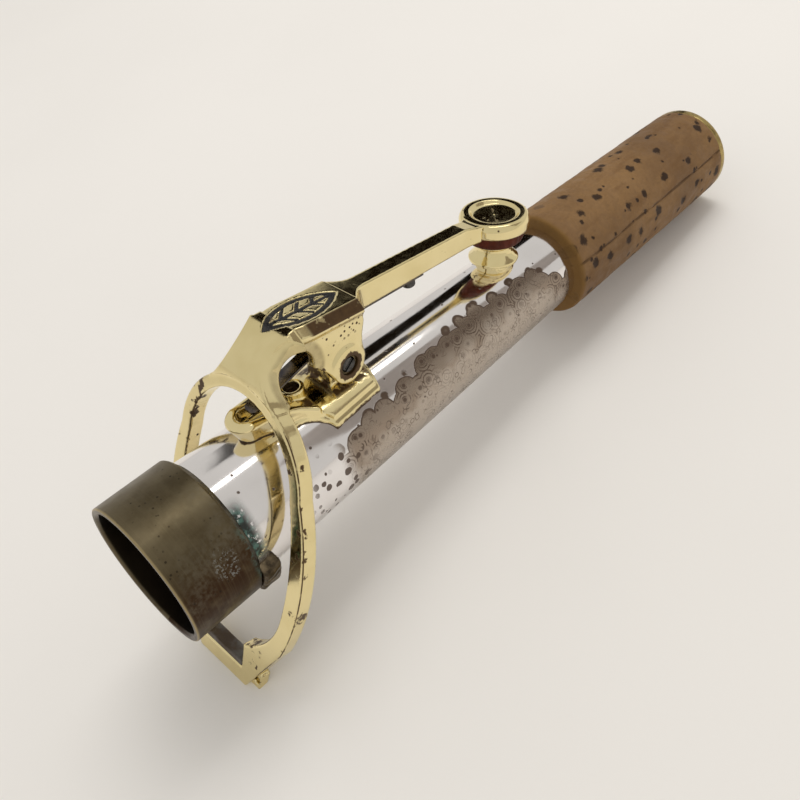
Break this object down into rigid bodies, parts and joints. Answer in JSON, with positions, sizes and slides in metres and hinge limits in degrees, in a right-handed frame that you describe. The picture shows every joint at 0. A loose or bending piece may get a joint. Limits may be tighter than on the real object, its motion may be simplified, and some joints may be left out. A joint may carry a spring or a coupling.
{
  "type": "soprano saxophone neck",
  "caption": "Straight detachable neck of a small woodwind: conical metal tube with a brass tenon, cork-covered end and a rocking octave key with a ring and a padded cup.",
  "frame": {"origin": "centre of the tenon's open face", "axes": "+X along the tube's axis towards the mouthpiece end, +Z towards the octave key, Y across the key"},
  "size_m": [0.1114, 0.0252, 0.0433],
  "materials": {
    "silver_tube": "polished silver plate with tarnish spots",
    "bare_brass": "bare brass with brown patina",
    "solder": "dull solder",
    "cork": "matt sheet cork",
    "lacquered_brass": "polished gold lacquer, worn at the edges",
    "black_enamel": "black enamel filling",
    "bumper": "dark grey contact strip",
    "card": "stiff card",
    "felt": "woven felt",
    "pad_leather": "reddish brown leather",
    "steel": "dark steel",
    "blued_steel": "blued spring steel"
  },
  "bodies": {
    "neck": {"neck_tube": "silver_tube", "tenon_sleeve": "bare_brass", "tenon_solder_bead": "solder", "locating_stud": "bare_brass", "mouthpiece_cork": "cork", "tip_ring": "bare_brass", "octave_pip": "lacquered_brass", "vent_tube": "bare_brass", "key_saddle": "lacquered_brass"},
    "octave_key": {"octave_ring": "lacquered_brass", "ring_bumper": "bumper", "ring_tab": "lacquered_brass", "key_bridge": "lacquered_brass", "ornament_inlay": "black_enamel", "key_arm": "lacquered_brass", "pad_cup": "lacquered_brass", "pad_card": "card", "pad_felt": "felt", "pad_leather": "pad_leather", "hinge_rod": "steel", "flat_spring": "blued_steel", "spring_screw": "steel"}
  },
  "joints": [
    {"name": "octave_key_hinge", "type": "hinge", "parent": "neck", "child": "octave_key", "pos_m": [0.0304, 0, 0.011], "axis": [0, -1, 0], "range_deg": [0, 6.5], "stiffness_Nm_per_rad": 0.03, "springref_deg": -20.05}
  ]
}
